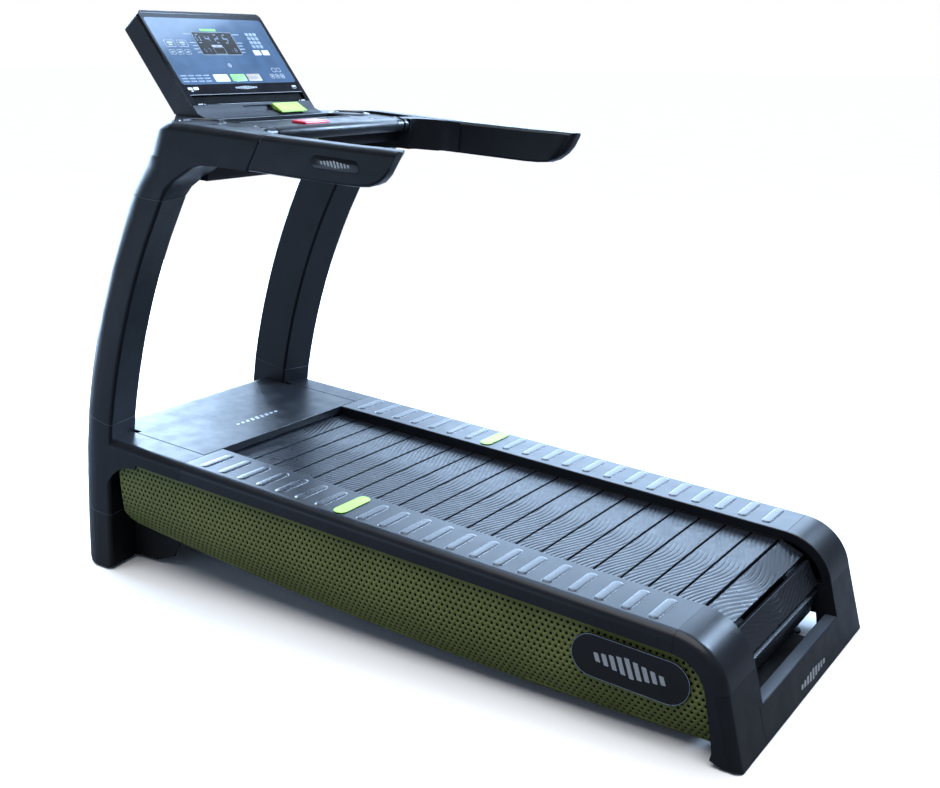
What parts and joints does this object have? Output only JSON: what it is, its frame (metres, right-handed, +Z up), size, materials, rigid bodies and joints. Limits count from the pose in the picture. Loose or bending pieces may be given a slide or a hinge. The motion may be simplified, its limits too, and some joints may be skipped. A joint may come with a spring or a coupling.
{
  "type": "manual treadmill",
  "caption": "Manual slat-belt treadmill: belt over two drums between foot rails, curved posts, handrails, crossbar, tilted console with stop button and pull-off key",
  "frame": {"origin": "centre of the footprint, on the floor", "axes": "+Z up, +Y the way the user faces (towards the console), +X to the user's right"},
  "size_m": [0.917, 2.2112, 1.6662],
  "materials": {
    "black_plastic": "satin",
    "satin_shell": "satin",
    "gloss_black": "gloss",
    "frame_paint": "satin",
    "green_steel": "satin",
    "lime_plastic": "satin",
    "stop_red": "satin",
    "slat_rubber": "moulded",
    "bare_steel": "brushed",
    "alloy": "satin",
    "glass_panel": "gloss",
    "foot_rubber": "matte"
  },
  "bodies": {
    "frame": {"base_cover_left": "satin_shell", "base_cover_right": "satin_shell", "belly_pan": "black_plastic", "belt_track_left": "alloy", "belt_track_right": "alloy", "console_apron": "satin_shell", "console_bezel": "gloss_black", "console_housing": "satin_shell", "console_tray": "satin_shell", "crossmember_front": "frame_paint", "crossmember_rear": "frame_paint", "display_glass": "glass_panel", "drive_belt": "foot_rubber", "foot_cover_left": "black_plastic", "foot_cover_right": "black_plastic", "frame_rail_left": "frame_paint", "frame_rail_right": "frame_paint", "front_base_beam": "black_plastic", "front_bearing_left": "frame_paint", "front_bearing_right": "frame_paint", "front_cover": "satin_shell", "generator_housing": "frame_paint", "grip_crossbar": "satin_shell", "handrail_corner_left": "satin_shell", "handrail_corner_right": "satin_shell", "handrail_left": "satin_shell", "handrail_right": "satin_shell", "rail_cover_left": "satin_shell", "rail_cover_right": "satin_shell", "rear_bearing_left": "frame_paint", "rear_bearing_right": "frame_paint", "rear_cap_left": "satin_shell", "rear_cap_right": "satin_shell", "rear_lower_cover": "black_plastic", "screw_foot_front_left": "foot_rubber", "screw_foot_front_right": "foot_rubber", "screw_foot_rear_left": "foot_rubber", "screw_foot_rear_right": "foot_rubber", "shoulder_cover_left": "satin_shell", "shoulder_cover_right": "satin_shell", "side_badge_left": "gloss_black", "side_badge_right": "gloss_black", "side_panel_left": "green_steel", "side_panel_right": "green_steel", "step_marker_left": "lime_plastic", "step_marker_right": "lime_plastic", "upright_left": "satin_shell", "upright_right": "satin_shell"},
    "belt_top": {"belt_top_run": "slat_rubber"},
    "belt_bottom": {"belt_bottom_run": "slat_rubber"},
    "rear_turn": {"belt_rear_wrap": "slat_rubber", "rear_drum": "alloy"},
    "front_turn": {"belt_front_wrap": "slat_rubber", "front_drum": "alloy", "drive_pulley": "alloy"},
    "flywheel": {"flywheel_rotor": "bare_steel"},
    "stop_button": {"stop_button": "stop_red"},
    "safety_key": {"safety_key": "lime_plastic"},
    "transport_wheel_left": {"transport_wheel_left": "foot_rubber"},
    "transport_wheel_right": {"transport_wheel_right": "foot_rubber"}
  },
  "joints": [
    {"name": "belt_travel", "type": "slide", "parent": "frame", "child": "belt_top", "axis": [0, -0.9978, -0.0668], "range_m": [0, 0.0766]},
    {"name": "belt_return", "type": "slide", "parent": "frame", "child": "belt_bottom", "axis": [0, 0.9978, 0.0668], "range_m": [0, 0.0768]},
    {"name": "rear_drum_turn", "type": "hinge", "parent": "frame", "child": "rear_turn", "pos_m": [0, -0.89695, 0.15322], "axis": [1, 0, 0], "range_deg": [0, 40.1]},
    {"name": "front_drum_turn", "type": "hinge", "parent": "frame", "child": "front_turn", "pos_m": [0, 0.78449, 0.26579], "axis": [1, 0, 0], "range_deg": [0, 40.1]},
    {"name": "flywheel_spin", "type": "hinge", "parent": "frame", "child": "flywheel", "pos_m": [0, 0.46999, 0.24473], "axis": [1, 0, 0], "range_deg": [0, 114.69]},
    {"name": "stop_button_press", "type": "slide", "parent": "frame", "child": "stop_button", "axis": [0, 0.0668, -0.9978], "range_m": [0, 0.003], "stiffness_N_per_m": 1500, "springref_m": -0.002},
    {"name": "safety_key_pull", "type": "slide", "parent": "frame", "child": "safety_key", "axis": [0, -0.7851, 0.6194], "range_m": [0, 0.03]},
    {"name": "transport_wheel_left_spin", "type": "hinge", "parent": "frame", "child": "transport_wheel_left", "pos_m": [-0.315, 0.90892, 0.036], "axis": [1, 0, 0], "continuous": true},
    {"name": "transport_wheel_right_spin", "type": "hinge", "parent": "frame", "child": "transport_wheel_right", "pos_m": [0.315, 0.90892, 0.036], "axis": [1, 0, 0], "continuous": true}
  ],
  "couplings": [
    {"joint": "belt_return", "follows": "belt_travel", "ratio": 1},
    {"joint": "rear_drum_turn", "follows": "belt_travel", "rad_per_m": 9.114},
    {"joint": "front_drum_turn", "follows": "belt_travel", "rad_per_m": 9.114},
    {"joint": "flywheel_spin", "follows": "belt_travel", "rad_per_m": 26.04}
  ]
}
